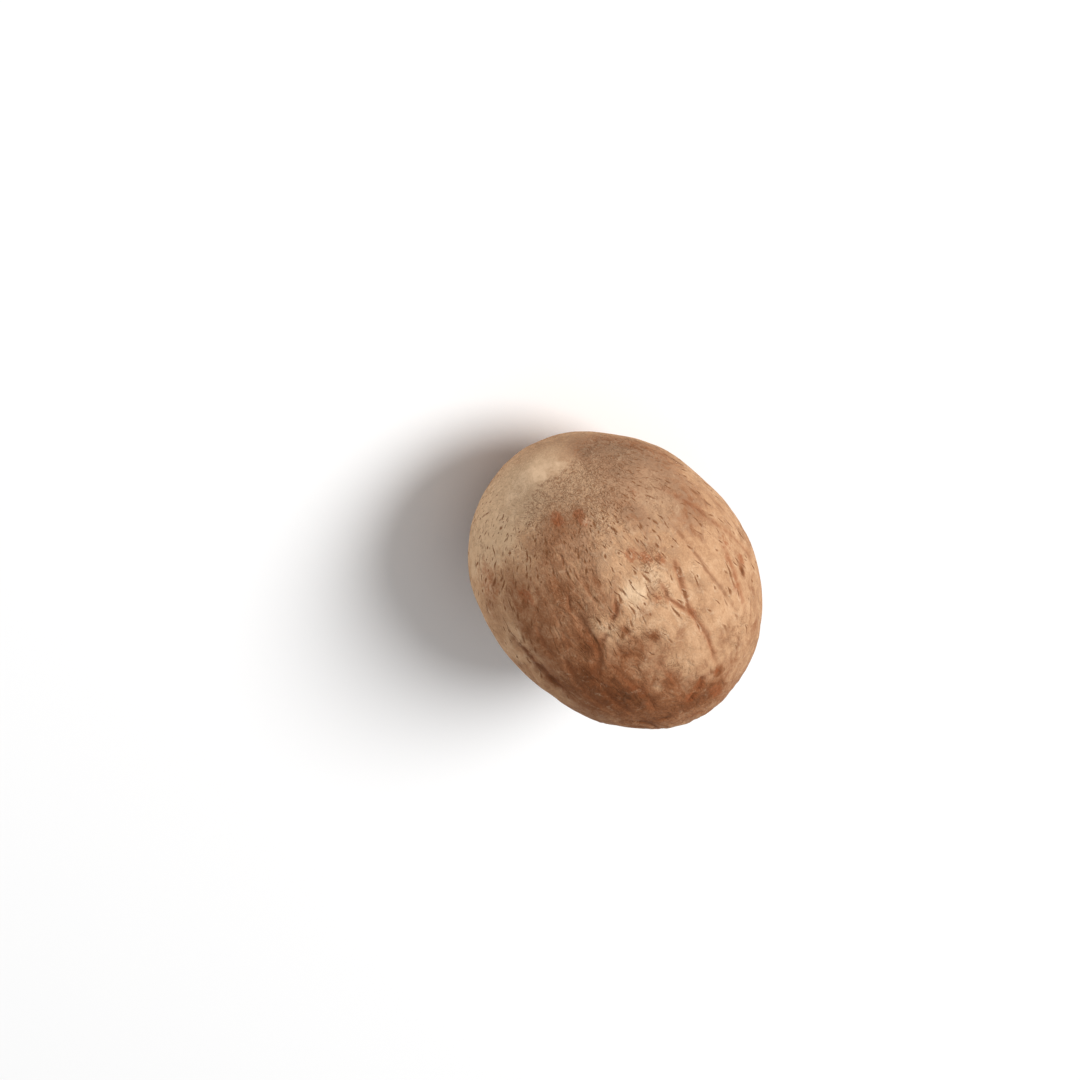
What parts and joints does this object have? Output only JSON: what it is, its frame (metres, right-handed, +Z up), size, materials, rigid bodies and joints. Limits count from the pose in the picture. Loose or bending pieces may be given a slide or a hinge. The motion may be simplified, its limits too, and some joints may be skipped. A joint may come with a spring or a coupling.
{
  "type": "whole nutmeg",
  "caption": "Whole dried nutmeg seed, an ovoid with a pale hilum scar at one end, shallow lengthwise folds and a small flat spot to rest on.",
  "frame": {"origin": "on the resting surface, under the middle of the seed's bounding box", "axes": "+X along the long axis towards the hilum end, +Z up, +Y to the side"},
  "size_m": [0.027, 0.0198, 0.0198],
  "materials": {
    "nutmeg_shell": null
  },
  "bodies": {
    "root": {"nutmeg": "nutmeg_shell"}
  },
  "joints": []
}
